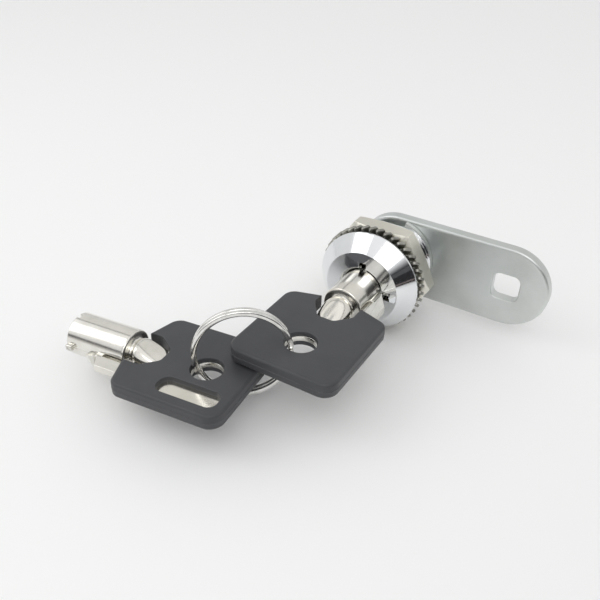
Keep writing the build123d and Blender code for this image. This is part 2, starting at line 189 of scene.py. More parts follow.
def metal(name, dark, light, rough=(0.2, 0.35), grain=1.0, stretch=(1, 1, 1), scratch=0.25,
          local=True, bump=0.00002, painted_edge_highlight=0.0, tint=None, patch=0.12):
    """Plated or bare metal: two tones in soft patches, fine directional grain, hairline scratches, and an optional
    painted highlight along edges.
    """
    n = Nodes(name)
    n.set(Metallic=1.0)
    base = n.local() if local else n.place()
    fine_vec = n.local(scale=stretch) if local else n.place(tuple(1000 * s for s in stretch))
    patches = n.noise(base, patch, 3.0, 0.5)
    fine = n.noise(fine_vec, 2.6 * grain, 6.0, 0.65)
    speck = n.noise(base, 9.0, 3.0, 0.6)
    col = n.mix(n.ramp(patches, [(0.32, 0.0), (0.68, 1.0)]), dark, light)
    col = n.mix(n.ramp(fine, [(0.30, 0.0), (0.75, 0.35)]), col, tuple(min(1.0, c * 1.06) for c in light))
    col = n.mix(n.ramp(speck, [(0.60, 0.0), (0.78, 0.28)]), col, tuple(c * 0.72 for c in dark))
    if tint is not None:
        big = n.noise(base, 0.05, 2.0, 0.5)
        col = n.mix(n.ramp(big, [(0.40, 0.0), (0.66, 0.55)]), col, tint)
    # painted highlight: rounded edges are painted a lighter tone, as if they caught the light
    if painted_edge_highlight > 0:
        col = n.mix(n.math("MULTIPLY", n.edge(0.00022), painted_edge_highlight), col, tuple(min(1.0, c * 1.18) for c in light))
    n.color(col)
    vor = n.new("ShaderNodeTexVoronoi", feature="DISTANCE_TO_EDGE")
    vor.inputs["Scale"].default_value = 0.55
    sv = n.local(scale=(1, 0.22, 1), rot=(0.3, 0.5, 0.9)) if local else n.place((1000, 220, 1000))
    n.link(sv, vor.inputs["Vector"])
    hair = n.ramp(vor.outputs["Distance"], [(0.0, 1.0), (0.012, 0.0)])
    r = n.new("ShaderNodeMapRange")
    r.inputs["To Min"].default_value = rough[0]
    r.inputs["To Max"].default_value = rough[1]
    n.link(fine, r.inputs["Value"])
    rr = n.math("MULTIPLY_ADD", hair, scratch * 0.25, r.outputs["Result"])
    n.rough(rr)
    height = n.math("MULTIPLY_ADD", hair, -0.35 * scratch, n.math("MULTIPLY_ADD", fine, 0.7, n.math("MULTIPLY", speck, 0.3)))
    n.bump(height, 0.6, bump)
    return n


# ------------------------------------------------------------- mesh helpers
# Pieces are worked in millimetres in their own frame, then placed in metres.
def new_object(name, verts, faces):
    me = bpy.data.meshes.new(name)
    me.from_pydata([tuple(map(float, v)) for v in verts], [], faces)
    me.update()
    ob = bpy.data.objects.new(name, me)
    scene.collection.objects.link(ob)
    return ob


def orient(ob):
    bm = bmesh.new()
    bm.from_mesh(ob.data)
    bmesh.ops.recalc_face_normals(bm, faces=bm.faces)
    bm.to_mesh(ob.data)
    bm.free()
    return ob


def evaluated(ob):
    bpy.context.view_layer.update()
    dg = bpy.context.evaluated_depsgraph_get()
    me = bpy.data.meshes.new_from_object(ob.evaluated_get(dg), depsgraph=dg)
    ob.modifiers.clear()
    old = ob.data
    ob.data = me
    bpy.data.meshes.remove(old)
    return ob


def join(parts, name):
    verts, faces = [], []
    for p in parts:
        base = len(verts)
        verts += [v.co[:] for v in p.data.vertices]
        faces += [[base + i for i in f.vertices] for f in p.data.polygons]
    for p in parts:
        me = p.data
        bpy.data.objects.remove(p)
        bpy.data.meshes.remove(me)
    return orient(new_object(name, verts, faces))


def boolean(ob, cutter, op="DIFFERENCE", keep=False):
    m = ob.modifiers.new("cut", "BOOLEAN")
    m.operation = op
    m.solver = "EXACT"
    m.object = cutter
    evaluated(ob)
    if not keep:
        me = cutter.data
        bpy.data.objects.remove(cutter)
        bpy.data.meshes.remove(me)
    return ob


def bevel(ob, width, angle=28.0, segments=2):
    m = ob.modifiers.new("bevel", "BEVEL")
    m.width = width
    m.segments = segments
    m.limit_method = "ANGLE"
    m.angle_limit = math.radians(angle)
    m.use_clamp_overlap = True
    return evaluated(ob)


def soft(points, radii, seg=5, closed=True):
    """A polyline whose corners are arcs of the given radii."""
    n = len(points)
    if isinstance(radii, (int, float)):
        radii = [radii] * n
    out = []
    for i, (p, r) in enumerate(zip(points, radii)):
        p = np.array(p, float)
        if r <= 0 or (not closed and i in (0, n - 1)):
            out.append(tuple(p))
            continue
        a = np.array(points[i - 1], float) - p
        b = np.array(points[(i + 1) % n], float) - p
        la, lb = np.linalg.norm(a), np.linalg.norm(b)
        a, b = a / la, b / lb
        ang = math.acos(max(-1, min(1, float(a @ b))))
        if ang > math.pi - 1e-3:
            out.append(tuple(p))
            continue
        t = min(r / math.tan(ang / 2), 0.49 * la, 0.49 * lb)
        rr = t * math.tan(ang / 2)
        mid = (a + b) / np.linalg.norm(a + b)
        c = p + mid * rr / math.sin(ang / 2)
        s, e = p + a * t - c, p + b * t - c
        sweep = math.atan2(s[0] * e[1] - s[1] * e[0], float(s @ e))
        for k in range(seg + 1):
            w = sweep * k / seg
            out.append((c[0] + s[0] * math.cos(w) - s[1] * math.sin(w), c[1] + s[0] * math.sin(w) + s[1] * math.cos(w)))
    return out


def stitch(rings, wrap=False, caps=True):
    """Verts and faces of a skin over rings of points. A ring of one point closes to a tip."""
    verts, faces, start = [], [], []
    for r in rings:
        start.append(len(verts))
        verts += [tuple(p) for p in r]
    pairs = list(zip(range(len(rings)), range(1, len(rings))))
    if wrap:
        pairs.append((len(rings) - 1, 0))
    for a, b in pairs:
        na, nb, sa, sb = len(rings[a]), len(rings[b]), start[a], start[b]
        if na == nb:
            for i in range(na):
                j = (i + 1) % na
                faces.append((sa + i, sa + j, sb + j, sb + i))
        elif na == 1:
            faces += [(sa, sb + (i + 1) % nb, sb + i) for i in range(nb)]
        elif nb == 1:
            faces += [(sa + i, sa + (i + 1) % na, sb) for i in range(na)]
    if caps and not wrap:
        if len(rings[0]) > 1:
            faces.append(tuple(range(start[0] + len(rings[0]) - 1, start[0] - 1, -1)))
        if len(rings[-1]) > 1:
            faces.append(tuple(range(start[-1], start[-1] + len(rings[-1]))))
    return verts, faces


def turned(name, profile, n=192, axis="y", wrap=True):
    """A lathe-turned solid. Profile points are (radius, position); either may be an array over the angle."""
    th = np.arange(n) * PI2 / n
    rings = []
    for r, h in profile:
        if np.ndim(r) == 0 and r < 1e-9:
            rings.append([(0, h, 0) if axis == "y" else (h, 0, 0)])
            continue
        r = np.broadcast_to(np.asarray(r, float), (n,))
        h = np.broadcast_to(np.asarray(h, float), (n,))
        if axis == "y":      # angle from +X to +Z
            rings.append(np.stack([r * np.cos(th), h, r * np.sin(th)], -1))
        else:                # axis x: angle from +y to +z
            rings.append(np.stack([h, r * np.cos(th), r * np.sin(th)], -1))
    return orient(new_object(name, *stitch(rings, wrap=wrap)))


def offset_loop(outline, d):
    """The outline moved outward by d along its corner bisectors; the outline runs anticlockwise."""
    p = np.array(outline, float)
    e1 = p - np.roll(p, 1, 0)
    e2 = np.roll(p, -1, 0) - p
    n1 = np.stack([e1[:, 1], -e1[:, 0]], -1)
    n2 = np.stack([e2[:, 1], -e2[:, 0]], -1)
    n1 /= np.maximum(np.linalg.norm(n1, axis=1), 1e-12)[:, None]
    n2 /= np.maximum(np.linalg.norm(n2, axis=1), 1e-12)[:, None]
    m = n1 + n2
    m /= np.maximum((m * m).sum(1), 1e-9)[:, None]
    return p + 2 * d * m


def plate(name, outline, z0, z1, low=(0.3, 0.3), high=(0.3, 0.3), seg=5, lift=None):
    """A plate with rounded edges. low and high are how far each edge's rounding runs in and down."""
    rings = []

    def add(loop, z):
        rings.append(np.column_stack([loop, np.full(len(loop), z)]))
    add(offset_loop(outline, -low[0] - 0.25), z0)
    for k in range(seg + 1):
        a = math.pi / 2 * k / seg
        add(offset_loop(outline, -low[0] * (1 - math.sin(a))), z0 + low[1] * (1 - math.cos(a)))
    for k in range(seg + 1):
        a = math.pi / 2 * k / seg
        add(offset_loop(outline, -high[0] * (1 - math.cos(a))), z1 - high[1] * (1 - math.sin(a)))
    add(offset_loop(outline, -high[0] - 0.25), z1)
    return orient(new_object(name, *stitch(rings)))


def flared_cutter(name, outline, z0, z1, low=0.2, high=0.2, seg=4, beyond=0.6):
    """A cutter that leaves a rounded rim where it leaves each face. 0 leaves that end square."""
    rings = []

    def add(d, z):
        loop = offset_loop(outline, d)
        rings.append(np.column_stack([loop, np.full(len(loop), z)]))
    top = math.radians(72)
    if low > 0:
        s = low * (1 - math.cos(top))
        add(s + 0.35, z0 - beyond)
        for k in range(seg, -1, -1):
            a = top * k / seg
            add(low * (1 - math.cos(a)), z0 + low * (math.sin(top) - math.sin(a)) - 0.004)
    else:
        add(0.0, z0)
    if high > 0:
        s = high * (1 - math.cos(top))
        for k in range(0, seg + 1):
            a = top * k / seg
            add(high * (1 - math.cos(a)), z1 - high * (math.sin(top) - math.sin(a)) + 0.004)
        add(s + 0.35, z1 + beyond)
    else:
        add(0.0, z1)
    return orient(new_object(name, *stitch(rings)))


def block(name, lo, hi):
    (x0, y0, z0), (x1, y1, z1) = lo, hi
    v = [(x0, y0, z0), (x1, y0, z0), (x1, y1, z0), (x0, y1, z0), (x0, y0, z1), (x1, y0, z1), (x1, y1, z1), (x0, y1, z1)]
    f = [(0, 3, 2, 1), (4, 5, 6, 7), (0, 1, 5, 4), (1, 2, 6, 5), (2, 3, 7, 6), (3, 0, 4, 7)]
    return new_object(name, v, f)


def circle(r, n=96, centre=(0, 0)):
    return [(centre[0] + r * math.cos(PI2 * i / n), centre[1] + r * math.sin(PI2 * i / n)) for i in range(n)]


def transform(ob, m):
    ob.data.transform(m)
    return ob


def across(y0=0.0):
    """From plate axes (x, y, z) to the lock's: plate x to +X, plate y to +Z, plate z to -Y, from y0."""
    return Matrix(((1, 0, 0, 0), (0, 0, -1, y0), (0, 1, 0, 0), (0, 0, 0, 1)))


def finish_piece(ob, body, node, material, angle=32.0, placement=None, weighted=True, local=None):
    """Local coordinates kept for the material, then placed, scaled to metres and shaded."""
    me = ob.data
    co = np.zeros(len(me.vertices) * 3, np.float32)
    me.vertices.foreach_get("co", co)
    att = me.attributes.new("local", "FLOAT_VECTOR", "POINT")
    att.data.foreach_set("vector", co)
    if placement is not None:
        me.transform(placement)
    me.transform(Matrix.Scale(0.001, 4))
    me.shade_smooth()
    me.set_sharp_from_angle(angle=math.radians(angle))
    if weighted:
        m = ob.modifiers.new("weighted", "WEIGHTED_NORMAL")
        m.keep_sharp = True
        m.weight = 60
        evaluated(ob)
    ob.data.materials.clear()
    ob.data.materials.append(material)
    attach(ob, body)
    if node:
        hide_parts(node)
    return ob


# ----------------------------------------------------------------- materials
M_CHROME = metal("polished_chrome", (0.72, 0.735, 0.76), (0.86, 0.87, 0.875), rough=(0.035, 0.10), grain=1.6,
                 stretch=(1, 6, 1), scratch=0.20, bump=0.0000035, patch=0.09).mat
M_WASHER = metal("washer_steel", (0.17, 0.168, 0.152), (0.40, 0.395, 0.36), rough=(0.24, 0.42), grain=2.2,
                 scratch=0.5, bump=0.00002, painted_edge_highlight=0.8, patch=0.5).mat
M_NUT = metal("nickel_nut", (0.70, 0.685, 0.61), (0.86, 0.84, 0.765), rough=(0.26, 0.40), grain=1.4,
              stretch=(1, 3.5, 1), scratch=0.45, bump=0.00001, painted_edge_highlight=0.6, tint=(0.70, 0.67, 0.56), patch=0.16).mat
M_ZINC = metal("zinc_plate", (0.56, 0.58, 0.565), (0.72, 0.735, 0.72), rough=(0.30, 0.46), grain=1.1,
               stretch=(0.35, 1, 2.2), scratch=0.5, bump=0.000012, painted_edge_highlight=0.45, tint=(0.60, 0.64, 0.63), patch=0.10).mat
M_KEY = metal("key_nickel", (0.66, 0.645, 0.59), (0.86, 0.845, 0.80), rough=(0.10, 0.22), grain=1.8,
              stretch=(0.10, 1.6, 1.6), scratch=0.45, bump=0.000008, painted_edge_highlight=0.4, tint=(0.74, 0.70, 0.62), patch=0.14).mat
M_RING = metal("ring_nickel", (0.60, 0.595, 0.57), (0.86, 0.85, 0.83), rough=(0.09, 0.20), grain=1.4,
               scratch=0.6, bump=0.000006, patch=0.3).mat
M_BRASS = metal("turned_brass", (0.60, 0.47, 0.22), (0.82, 0.69, 0.38), rough=(0.20, 0.34), grain=1.2,
                stretch=(1, 5, 1), scratch=0.4, local=False, bump=0.000008, painted_edge_highlight=0.4).mat
M_HARD = metal("ground_steel", (0.42, 0.42, 0.43), (0.64, 0.64, 0.65), rough=(0.18, 0.32), grain=2.4,
               stretch=(1, 5, 1), scratch=0.4, local=False, bump=0.000006, painted_edge_highlight=0.4).mat
M_SPRING = metal("spring_steel", (0.34, 0.34, 0.35), (0.58, 0.58, 0.58), rough=(0.22, 0.36), grain=1.6,
                 scratch=0.4, local=False, bump=0.000008, painted_edge_highlight=0.4).mat
M_ZINC_CAD = metal("zinc_plate_rear", (0.56, 0.58, 0.565), (0.72, 0.735, 0.72), rough=(0.30, 0.46), grain=1.1,
                   scratch=0.5, local=False, bump=0.000012, painted_edge_highlight=0.45, patch=0.10).mat


def plastic():
    n = Nodes("bow_plastic")
    n.set(Roughness=0.40, IOR=1.47)
    v = n.local()
    cloud = n.noise(v, 0.10, 3.0, 0.5)
    flow = n.noise(n.local(scale=(0.6, 0.18, 0.6), rot=(0, 0, 0.35)), 0.7, 4.0, 0.6, 1.2)
    grit = n.noise(v, 11.0, 3.0, 0.7)
    col = n.mix(n.ramp(cloud, [(0.30, 0.0), (0.70, 1.0)]), (0.050, 0.0515, 0.056), (0.061, 0.062, 0.067))
    col = n.mix(n.ramp(flow, [(0.45, 0.0), (0.75, 0.35)]), col, (0.072, 0.074, 0.080))
    # painted highlight: the bow's rounded edges are painted a paler grey, as if catching the light
    col = n.mix(n.math("MULTIPLY", n.edge(0.00045, 0.86, 0.995), 0.42), col, (0.135, 0.142, 0.150))
    n.color(col)
    r = n.new("ShaderNodeMapRange")
    r.inputs["To Min"].default_value = 0.36
    r.inputs["To Max"].default_value = 0.52
    n.link(flow, r.inputs["Value"])
    n.rough(r.outputs["Result"])
    vor = n.new("ShaderNodeTexVoronoi")
    vor.inputs["Scale"].default_value = 5.5
    n.link(v, vor.inputs["Vector"])
    h = n.math("MULTIPLY_ADD", grit, 0.6, n.math("MULTIPLY", vor.outputs["Distance"], 0.5))
    n.bump(h, 0.5, 0.000022)
    return n.mat


M_BOW = plastic()

# ----------------------------------------------------------- CAD dimensions
HEAD_Y, LUG_Y, CHAMBER_Y, BARREL_END = -4.08, -1.0, 1.6, 12.5
BORE_R, TUBE_R, TUBE_TIP = 4.50, 4.35, 12.6


def thread(r_root, depth, pitch, y0, y1, n, steps=12, run=0.6):
    """Rings of a helical thread from y0 to y1, fading in and out at its ends."""
    th = np.arange(n) / n
    out = []
    count = int(round((y1 - y0) / pitch * steps))
    for k in range(count + 1):
        y = y0 + (y1 - y0) * k / count
        phase = (y / pitch - th) % 1.0
        tri = 1 - np.abs(phase - 0.5) * 2
        crest = np.clip((tri - 0.12) / 0.72, 0, 1)
        fade = min(1.0, (y - y0) / run, (y1 - y) / run)
        out.append((r_root + depth * crest * max(0.0, fade), y))
    return out


# ------------------------------------------------------------- the lock body
def make_lock_body():
    n = 240
    front = soft([(BORE_R, -3.45), (5.05, HEAD_Y), (8.34, HEAD_Y + 0.27), (11.5, -0.45), (11.5, 0.0), (9.0, 0.0)],
                 [0.10, 0.10, 0.16, 0.16, 0.10, 0], seg=4, closed=False)
    front[0] = (BORE_R, -3.45)
    rear = soft([(9.0, 12.30), (8.7, BARREL_END), (6.6, BARREL_END), (6.6, CHAMBER_Y), (5.6, CHAMBER_Y), (5.6, LUG_Y), (BORE_R, LUG_Y), (BORE_R, -3.2)],
                [0, 0.08, 0.08, 0.05, 0.05, 0.05, 0.08, 0], seg=2, closed=False)
    profile = front + thread(9.0, 0.5, 1.0, 0.8, 12.25, n) + rear
    body = turned("lock_body_shell", profile, n)
    cut = []
    for s in (1, -1):
        cut.append(block("flat", (-14, 0.001, s * 8.0 if s > 0 else -14), (14, 14, 14 if s > 0 else s * 8.0)))
    slot_x = flared_cutter("slot", soft([(0.5, -0.8), (6.2, -0.8), (6.2, 0.8), (0.5, 0.8)], [0, 0.25, 0.25, 0], 3), 0.8, -HEAD_Y, 0, 0.10)
    transform(slot_x, across())
    slot_z = flared_cutter("slot", soft([(-0.8, 0.5), (0.8, 0.5), (0.8, 6.2), (-0.8, 6.2)], [0, 0, 0.25, 0.25], 3), 0.8, -HEAD_Y, 0, 0.10)
    transform(slot_z, across())
    notch = flared_cutter("notch", soft([(3.9, -1.05), (8.15, -1.05), (8.15, 1.05), (3.9, 1.05)], [0.2, 0.3, 0.3, 0.2], 3), -HEAD_Y - 1.6, -HEAD_Y, 0, 0.10)
    transform(notch, across())
    pin = transform(turned("pin_hole", [(0, 6.0), (0.8, 6.0), (0.8, 7.95), (1.0, 8.15), (1.0, 9.2), (0, 9.2)], 48, wrap=False),
                    Matrix.Translation((0, 10.9, 0)) @ Matrix.Rotation(math.radians(-90), 4, "X"))
    for c in cut:
        boolean(body, c)
    boolean(body, slot_x)
    boolean(body, slot_z)
    boolean(body, notch)
    boolean(body, pin)
    # stop lug on the barrel's end, at -X
    th = np.radians(np.linspace(168.2, 191.8, 13))
    outer, inner = 9.0, 6.62
    loop = [(outer * math.cos(a), outer * math.sin(a)) for a in th] + [(inner * math.cos(a), inner * math.sin(a)) for a in th[::-1]]
    lug = transform(plate("lug", loop, -13.45, -12.4, (0.12, 0.12), (0.0001, 0.0001), 3), across())
    return join([body, lug], "lock_body_shell")


body = finish_piece(make_lock_body(), "lock_case", "lock_body", M_CHROME, angle=30)


# ------------------------------------------------------------- toothed washer
def make_washer():
    teeth, root, tip, y_mid = 42, 10.15, 12.08, 1.60
    base = turned("washer_ring", soft([(9.65, 1.65), (10.62, 1.65), (10.62, 2.75), (9.65, 2.75)], 0.14, 3), 240)
    parts = [base]
    section = soft([(-0.36, -1.05), (0.36, -1.05), (0.36, 1.05), (-0.36, 1.05)], 0.13, 3)
    # radius, twist, and how much of the section is left: the outer end is rounded off
    stations = [(root, 30, 0.92), (10.55, 46, 0.98), (10.9, 52, 1.0), (11.3, 53, 1.0), (11.66, 54, 0.98), (11.88, 54, 0.90), (12.01, 54, 0.76), (tip, 54, 0.55)]
    for i in range(teeth):
        a = PI2 * (i + 0.03 * math.sin(2.1 * i)) / teeth
        wob = 1.0 + 0.03 * math.sin(1.7 * i + 0.4)
        er, et = (math.cos(a), math.sin(a)), (-math.sin(a), math.cos(a))
        rings = []
        for r, twist, k in stations:
            w = math.radians(twist * wob)
            c, d = math.cos(w), math.sin(w)
            ring = []
            for u, v in section:
                u, v = u * k, v * k
                # u along the axis, v around; twisted about the radius
                yy, tt = u * c - v * d, u * d + v * c
                ring.append((r * er[0] + tt * et[0], y_mid + yy, r * er[1] + tt * et[1]))
            rings.append(ring)
        parts.append(new_object("tooth", *stitch(rings)))
    return join(parts, "toothed_washer_ring")


washer = finish_piece(make_washer(), "lock_case", "serrated_washer", M_WASHER, angle=40)


# ----------------------------------------------------------------- big nut
def make_nut(name, af, y0, y1, bore, spin, chamfer_r, chamfer_y, corner=0.3, edge=0.12, mouth=0.6):
    r = af / 2 / math.cos(math.pi / 6)
    hexagon = [(r * math.cos(math.radians(spin + 60 * k)), r * math.sin(math.radians(spin + 60 * k))) for k in range(6)]
    outline = soft(hexagon, corner, 4)
    prism = transform(new_object(name, *stitch([np.column_stack([outline, np.full(len(outline), z)]) for z in (-y1, -y0)])), across())
    orient(prism)
    rc = r + 0.35
    cone = turned("cone", soft([(0, y0), (chamfer_r, y0), (rc, y0 + chamfer_y), (rc, y1 - chamfer_y), (chamfer_r, y1), (0, y1)],
                               [0, 0.25, 0, 0, 0.25, 0], 4, closed=False), 240, wrap=False)
    boolean(prism, cone, "INTERSECT")
    hole = turned("hole", [(0, y0 - 1), (bore + mouth + 0.5, y0 - 1), (bore + mouth, y0 - 0.01), (bore, y0 + mouth),
                           (bore, y1 - mouth), (bore + mouth, y1 + 0.01), (bore + mouth + 0.5, y1 + 1), (0, y1 + 1)], 192, wrap=False)
    boolean(prism, hole)
    return bevel(prism, edge, 24, 2)


nut = finish_piece(make_nut("mounting_nut_hex", 22.0, 2.95, 7.15, 9.56, 0, 10.95, 0.95), "lock_case", "mounting_nut", M_NUT, angle=24)
cam_nut = finish_piece(make_nut("cam_nut_hex", 10.0, 17.57, 21.57, 2.94, 30, 4.85, 0.45, 0.12, 0.06, 0.4), "rotor_and_cam", "cam_nut", M_NUT, angle=24)


# ---------------------------------------------------------------------- cam
def make_cam():
    n = 48
    outline = [(26.14 + 9.35 * math.cos(a), 9.35 * math.sin(a)) for a in np.linspace(-math.pi / 2, math.pi / 2, n)]
    outline += [(x, 9.35) for x in np.linspace(26.14, 0, 14)[1:-1]]
    outline += [(9.35 * math.cos(a), 9.35 * math.sin(a)) for a in np.linspace(math.pi / 2, 3 * math.pi / 2, n)]
    outline += [(x, -9.35) for x in np.linspace(0, 26.14, 14)[1:-1]]
    # plate z runs to -Y: z = -13.67 is the front face
    cam = plate("cam_plate", outline, -16.17, -13.67, (0.22, 0.22), (0.75, 0.50), 6)
    sq = lambda cx: soft([(cx - 3.0, -3.1), (cx + 3.0, -3.1), (cx + 3.0, 3.1), (cx - 3.0, 3.1)], 1.6, 8)
    boolean(cam, flared_cutter("hole", sq(26.14), -16.17, -13.67, 0.12, 0.32, 4))
    boolean(cam, flared_cutter("hole", sq(0.0), -16.17, -13.67, 0.10, 0.10, 3))
    return transform(cam, across())


cam = finish_piece(make_cam(), "rotor_and_cam", "cam", M_ZINC, angle=35)


# ------------------------------------------------- split spring washer
def make_spring_washer():
    rings = []
    section = soft([(3.06, 0.0), (4.9, 0.0), (4.9, 0.95), (3.06, 0.95)], 0.16, 3)
    for k in range(121):
        t = k / 120
        a = math.radians(97 + 348 * t)
        lift = 16.24 + 0.02 + 0.33 * t
        lean = 0.16 * (1 - 2 * t)
        ring = []
        for r, h in section:
            aa = a + lean * (h - 0.48) / 6.0
            ring.append((r * math.cos(aa), lift + h, r * math.sin(aa)))
        rings.append(ring)
    return orient(new_object("cam_spring_washer_coil", *stitch(rings)))


spring_washer = finish_piece(make_spring_washer(), "rotor_and_cam", "cam_spring_washer",
                             metal("spring_washer_steel", (0.40, 0.40, 0.40), (0.62, 0.62, 0.61), rough=(0.26, 0.40), painted_edge_highlight=0.4).mat, angle=32)

# ----------------------------------------------------------------- the keys
BITTING = (1.25, 0.55, 0.95, 1.45, 0.75, 1.15, 0.45)
BOW_OUTLINE = soft([(0, 0), (-3.52, 11.44), (-26.4, 11.44), (-26.4, -11.44), (-3.52, -11.44)], [1.0, 2.2, 3.0, 3.0, 2.8], 10)


def make_key_metal(name):
    n = 192
    th = np.arange(n) * PI2 / n
    c, d = np.cos(th), np.sin(th)
    # the crimped root: pressed facets meeting at soft creases
    facets = [((-0.43, 0.0, 0.90), 3.95), ((-0.30, 0.66, 0.69), 4.15), ((-0.30, -0.66, 0.69), 4.15),
              ((-0.75, 0.22, 0.62), 6.75), ((-0.75, -0.34, 0.57), 6.60)]
    facets += [((x, y, -z), k) for (x, y, z), k in facets]

    def root_ring(x, half_y, half_z, p):
        r = 1.0 / ((np.abs(c) / half_y) ** p + (np.abs(d) / half_z) ** p) ** (1 / p)
        inv = r ** -10.0
        for (nx, ny, nz), k in facets:
            den = ny * c + nz * d
            t = np.where(den > 0.05, (k - nx * x) / np.maximum(den, 0.05), 99.0)
            inv = inv + np.clip(t, 0.5, 99.0) ** -10.0
        r = inv ** (-1 / 10.0)
        # fine wrinkles from the press
        r = r + 0.018 * np.sin(9 * th + 2.3 * x) * np.sin(2.9 * x + 3 * th) * min(1.0, max(0.0, (-2.1 - x) / 0.8))
        return np.maximum(r, 0.45)
    rows = [(0.0, -8.08)]
    for x, hy, hz, p in ((-8.05, 2.50, 0.42, 4.0), (-7.98, 2.62, 0.56, 4.0), (-7.8, 2.72, 0.78, 3.6), (-7.5, 2.82, 1.10, 3.3),
                         (-7.1, 2.92, 1.46, 3.0), (-6.6, 3.02, 1.84, 2.8), (-6.1, 3.10, 2.16, 2.7), (-5.6, 3.17, 2.44, 2.6),
                         (-5.1, 3.22, 2.68, 2.5), (-4.6, 3.25, 2.87, 2.5), (-4.1, 3.26, 3.01, 2.4), (-3.6, 3.25, 3.10, 2.4),
                         (-3.1, 3.22, 3.14, 2.3), (-2.7, 3.16, 3.12, 2.3), (-2.35, 3.06, 3.04, 2.2), (-2.1, 2.95, 2.93, 2.1)):
        rows.append((root_ring(x, hy, hz, p), x))
    rows += [(2.84, -1.92), (2.78, -1.75), (2.84, -1.60), (3.05, -1.46), (3.45, -1.36), (3.9, -1.30), (4.12, -1.26), (4.27, -1.16), (4.34, -1.0), (4.35, -0.8)]
    # seam along the fin's side, from the fin to the lug
    diff = (np.degrees(th) + 4 + 180) % 360 - 180
    seam = 0.12 * np.exp(-(diff / 1.5) ** 2)
    for x in np.concatenate([[-0.4, 0.2, 1.0, 2.0], np.linspace(3, 12.05, 20)]):
        w = min(1.0, max(0.0, (x - 5.0) / 0.8))
        rows.append((TUBE_R - seam * w, x))
    tip = soft([(TUBE_R, 12.1), (TUBE_R, TUBE_TIP - 0.42), (TUBE_R - 0.34, TUBE_TIP), (3.40, TUBE_TIP), (3.25, TUBE_TIP - 0.17), (3.25, 2.2)],
               [0, 0.16, 0.08, 0.08, 0.08, 0], 3, closed=False)
    rows += tip[1:]
    rows += [(2.4, 1.4), (1.0, 0.95), (0.0, 0.9)]
    tube = turned(name, rows, n, axis="x", wrap=False)
    cuts = []
    for i, depth in enumerate(BITTING, start=1):
        a = math.radians(45.0 * i)
        cy, cz = 3.80 * math.cos(a), -3.80 * math.sin(a)
        x0 = TUBE_TIP - depth
        prof = [(0, x0), (0.52, x0), (0.66, x0 + 0.06), (0.72, x0 + 0.2), (0.72, TUBE_TIP - 0.2), (0.84, TUBE_TIP + 0.04), (0.84, TUBE_TIP + 1), (0, TUBE_TIP + 1)]
        cyl = turned("cut", prof, 28, axis="x", wrap=False)
        cuts.append(transform(cyl, Matrix.Translation((0, cy, cz))))
    for k in cuts:
        boolean(tube, k)
    # fin: a strip beside the tube, with a gap to it near the bow
    q = math.pi / 8
    levels = [(0, -0.14, -0.8)] + [(0, -0.12 * (1 - math.sin(q * k)), -0.8 + 0.12 * (1 - math.cos(q * k))) for k in range(5)]
    # the strip's nose is pressed down from its upper side
    levels += [(0, 0, 0.0), (0.1, 0, 0.08), (0.5, 0, 0.30), (0.85, 0, 0.50)]
    levels += [(0.93 + 0.07 * k / 4, -0.12 * (1 - math.cos(q * k)), 0.8 - 0.12 * (1 - math.sin(q * k))) for k in range(5)] + [(1, -0.14, 0.8)]

    def fin_part(name, points, radii):
        rings = []
        for t, d, z in levels:
            loop = offset_loop(soft([(x - 2.4 * t * nose, y) for x, y, nose in points], radii, 5), d)
            rings.append(np.column_stack([loop, np.full(len(loop), z)]))
        return orient(new_object(name, *stitch(rings)))
    fin = join([fin_part("fin", [(-7.6, 5.02, 0), (6.78, 5.02, 1), (6.45, 5.42, 1), (2.75, 7.8, 0), (-7.6, 7.8, 0)], [0.18, 0.18, 0.25, 0.45, 0.2]),
                fin_part("fin_foot", [(3.15, 3.6, 0), (6.95, 3.6, 1), (6.80, 5.35, 1), (2.95, 5.45, 0)], 0.18)], "fin")
    # lug by the tip
    lug = plate("lug", soft([(10.55, -0.68), (12.05, -0.68), (12.05, 0.68), (10.55, 0.68)], 0.40, 5), 3.9, 5.3, (0.1, 0.1), (0.30, 0.30), 4)
    transform(lug, Matrix(((1, 0, 0, 0), (0, 0, 1, 0), (0, -1, 0, 0), (0, 0, 0, 1))))
    # tang inside the bow
    tang = plate("tang", soft([(-25.0, -9.8), (-9.0, -9.8), (-9.0, -3.2), (-7.2, -3.2), (-7.2, 3.2), (-9.0, 3.2), (-9.0, 9.8), (-25.0, 9.8)],
                              [1.6, 1.6, 0.3, 0.3, 0.3, 0.3, 1.6, 1.6], 5), -0.55, 0.55, (0.05, 0.05), (0.05, 0.05), 2)
    boolean(tang, flared_cutter("hole", circle(3.13, 96, (-17.6, 0)), -0.55, 0.55, 0.06, 0.06, 2))
    return join([tube, fin, lug, tang], name)


def bow_blank(name, outline, half, run, drop, seg=7):
    """A moulded plate: rounded edges, slightly drafted sides and a fine parting line round the middle."""
    rings = []

    def add(d, z):
        loop = offset_loop(outline, d)
        rings.append(np.column_stack([loop, np.full(len(loop), z)]))
    add(-run - 0.3, -half)
    for k in range(seg + 1):
        a = math.pi / 2 * k / seg
        add(-run * (1 - math.sin(a)) - 0.05, -half + drop * (1 - math.cos(a)))
    for d, z in ((-0.02, -0.16), (0.0, -0.09), (-0.07, -0.05), (-0.07, 0.05), (0.0, 0.09), (-0.02, 0.16)):
        add(d, z)
    for k in range(seg + 1):
        a = math.pi / 2 * k / seg
        add(-run * (1 - math.cos(a)) - 0.05, half - drop * (1 - math.sin(a)))
    add(-run - 0.3, half)
    return orient(new_object(name, *stitch(rings)))


